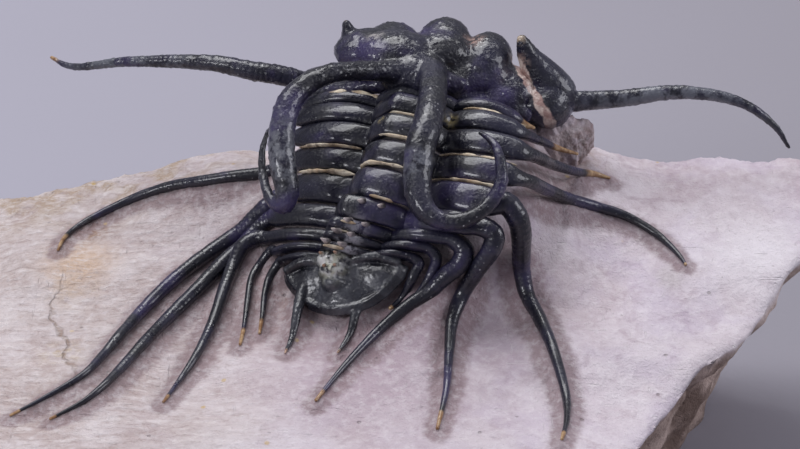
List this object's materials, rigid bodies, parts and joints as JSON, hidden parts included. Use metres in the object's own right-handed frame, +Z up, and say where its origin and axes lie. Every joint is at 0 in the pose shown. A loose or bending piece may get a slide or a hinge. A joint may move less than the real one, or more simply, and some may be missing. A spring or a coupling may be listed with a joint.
{
  "type": "trilobite fossil on matrix rock",
  "caption": "Spiny trilobite fossil with two curled head horns and long side spines, standing prepared on a block of pale limestone.",
  "frame": {"origin": "on the flat underside of the rock, below the middle of the thorax", "axes": "+X to the animal's right, +Y towards its head, +Z up"},
  "size_m": [0.1039, 0.0691, 0.044],
  "materials": {
    "shell": "glossy black calcite shell",
    "limestone": "matt pale limestone, prepared with a pen"
  },
  "bodies": {
    "root": {"cranidium": "shell", "free_cheek_left": "shell", "free_cheek_right": "shell", "thorax_segment_1": "shell", "thorax_segment_2": "shell", "thorax_segment_3": "shell", "thorax_segment_4": "shell", "thorax_segment_5": "shell", "thorax_segment_6": "shell", "thorax_segment_7": "shell", "thorax_segment_8": "shell", "thorax_segment_9": "shell", "pygidium": "shell", "matrix": "limestone"}
  },
  "joints": []
}
